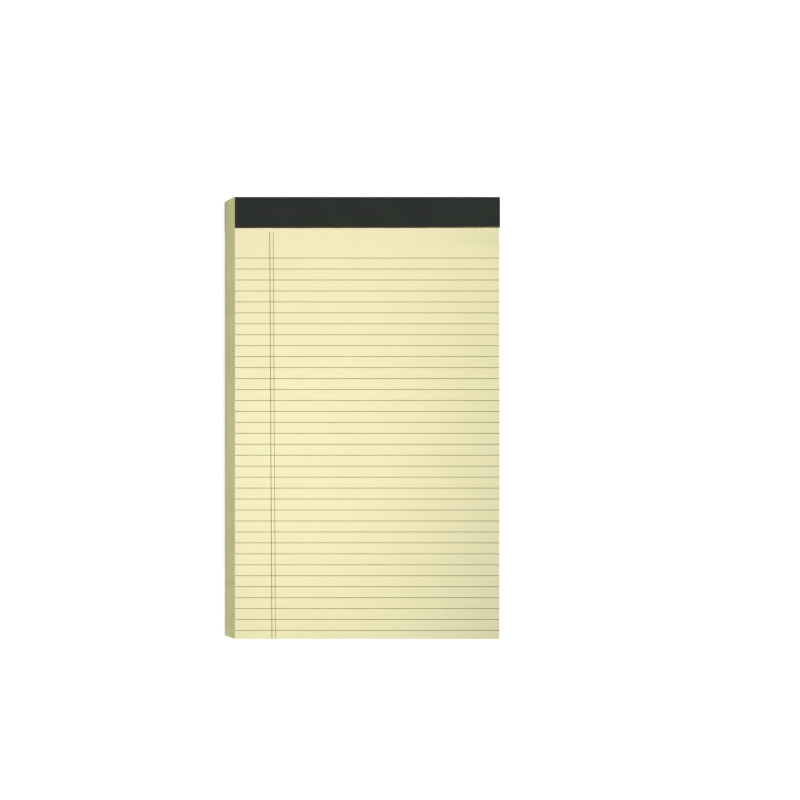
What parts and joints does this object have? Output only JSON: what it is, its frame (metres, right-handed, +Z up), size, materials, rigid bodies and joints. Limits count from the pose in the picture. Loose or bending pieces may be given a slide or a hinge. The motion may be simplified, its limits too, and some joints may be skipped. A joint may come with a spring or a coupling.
{
  "type": "legal pad",
  "caption": "Tall yellow legal pad for notes: ruled sheets with margin lines on a stiff backing board, stapled at the head under a dark folded tape.",
  "frame": {"origin": "middle of the pad's footprint, on the surface that the pad lies on", "axes": "+X to the right across the page, +Y to the bound head, +Z up out of the writing face"},
  "size_m": [0.2128, 0.3558, 0.0081],
  "materials": {
    "sheet_paper": "matte",
    "chipboard": "matte",
    "tape_paper": "matte",
    "staple_wire": "satin",
    "rule_ink": "matte",
    "margin_ink": "matte"
  },
  "bodies": {
    "root": {"page_block": "sheet_paper", "backing_board": "chipboard", "binding_tape": "tape_paper", "staples": "staple_wire", "ruled_lines": "rule_ink", "margin_lines": "margin_ink"}
  },
  "joints": []
}
